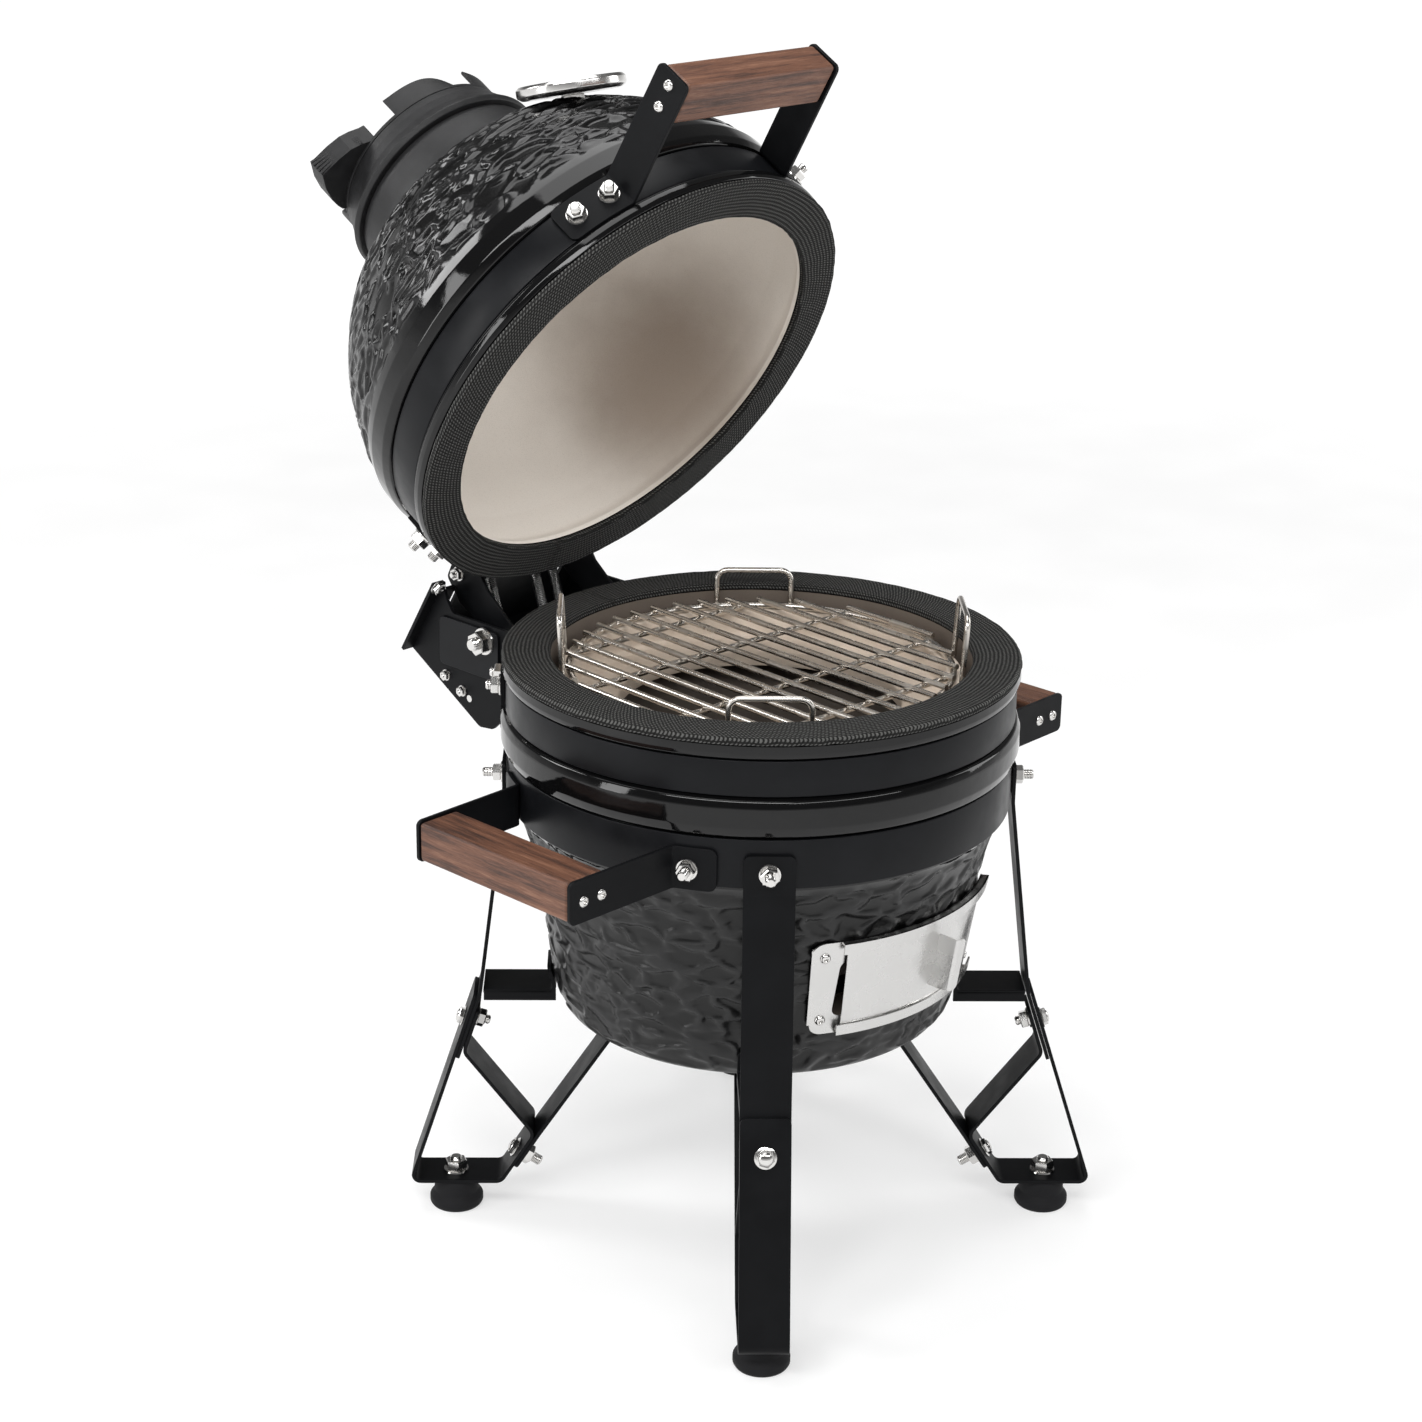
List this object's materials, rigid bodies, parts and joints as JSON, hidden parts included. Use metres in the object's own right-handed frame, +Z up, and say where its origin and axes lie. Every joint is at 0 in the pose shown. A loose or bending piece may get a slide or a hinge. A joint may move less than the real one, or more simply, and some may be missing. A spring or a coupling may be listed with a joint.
{
  "type": "kamado charcoal grill",
  "caption": "Compact ceramic kamado charcoal grill with its hinged dome lid open, on a four-legged strap-steel stand with rubber feet and wooden handles.",
  "frame": {"origin": "centre of the footprint's bounding box with the lid open, on the floor", "axes": "+Z up, -Y towards the vent door (front), +Y towards the hinge, X across the side handles"},
  "size_m": [0.579, 0.6637, 0.9552],
  "materials": {
    "glaze": "deep gloss black glaze with crackle",
    "refractory": "unglazed, matte",
    "felt": "woven high-heat gasket, matte",
    "powder_coat": "satin powder coat",
    "cast_iron": "matte dark grey",
    "walnut": "oiled, satin",
    "stainless": "bright polished stainless",
    "rubber": "matte black",
    "dial": "matte black",
    "glass": "clear"
  },
  "bodies": {
    "base": {"base_bowl": "glaze", "base_gasket": "felt", "base_hinge_band": "powder_coat", "base_stand_band": "powder_coat", "hinge_base_bracket": "powder_coat", "fire_ring": "refractory", "firebox": "refractory", "charcoal_grate": "cast_iron", "vent_track": "stainless", "hinge_pivot_rod": "stainless", "spring_rod_lower": "stainless", "spring_1": "stainless", "spring_2": "stainless", "spring_3": "stainless", "side_grip_left": "walnut", "side_grip_right": "walnut", "side_arm_left_front": "powder_coat", "side_arm_left_rear": "powder_coat", "side_arm_right_front": "powder_coat", "side_arm_right_rear": "powder_coat", "cross_strap_a": "powder_coat", "cross_strap_b": "powder_coat", "leg_strap_front_left": "powder_coat", "foot_frame_front_left": "powder_coat", "support_bar_front_left": "powder_coat", "rubber_foot_front_left": "rubber", "leg_strap_front_right": "powder_coat", "foot_frame_front_right": "powder_coat", "support_bar_front_right": "powder_coat", "rubber_foot_front_right": "rubber", "leg_strap_rear_left": "powder_coat", "foot_frame_rear_left": "powder_coat", "support_bar_rear_left": "powder_coat", "rubber_foot_rear_left": "rubber", "leg_strap_rear_right": "powder_coat", "foot_frame_rear_right": "powder_coat", "support_bar_rear_right": "powder_coat", "rubber_foot_rear_right": "rubber"},
    "lid": {"lid_dome": "glaze", "lid_gasket": "felt", "lid_band": "powder_coat", "chimney_collar": "cast_iron", "cap_body": "cast_iron", "thermometer_case": "stainless", "thermometer_glass": "glass", "lid_grip": "walnut", "lid_arm_left": "powder_coat", "lid_arm_right": "powder_coat", "hinge_lid_bracket": "powder_coat", "spring_rod_upper": "stainless"},
    "cap_wheel": {"cap_wheel": "cast_iron", "cap_damper": "cast_iron"},
    "vent_door": {"vent_door": "stainless"},
    "cooking_grid": {"cooking_grid": "stainless", "grid_handle_front_left": "stainless", "grid_handle_front_right": "stainless", "grid_handle_rear_left": "stainless", "grid_handle_rear_right": "stainless"},
    "thermometer_needle": {"thermometer_needle": "dial"}
  },
  "joints": [
    {"name": "lid_hinge", "type": "hinge", "parent": "base", "child": "lid", "pos_m": [0, 0.11466, 0.4644], "axis": [1, 0, 0], "range_deg": [0, 59.4], "deforming": ["spring_1", "spring_2", "spring_3"]},
    {"name": "cap_rotation", "type": "hinge", "parent": "lid", "child": "cap_wheel", "pos_m": [0, 0.28624, 0.83355], "axis": [0, 0.8607, 0.509], "continuous": true},
    {"name": "vent_door_slide", "type": "hinge", "parent": "base", "child": "vent_door", "pos_m": [0, -0.11574, 0.28], "axis": [0, 0, 1], "range_deg": [-2.4, 24]},
    {"name": "grid_lift", "type": "slide", "parent": "base", "child": "cooking_grid", "axis": [0, 0, 1], "range_m": [0, 0.06]},
    {"name": "needle_turn", "type": "hinge", "parent": "lid", "child": "thermometer_needle", "pos_m": [0, 0.09969, 0.90876], "axis": [0, 0.2317, 0.9728], "range_deg": [-270, 0]}
  ]
}
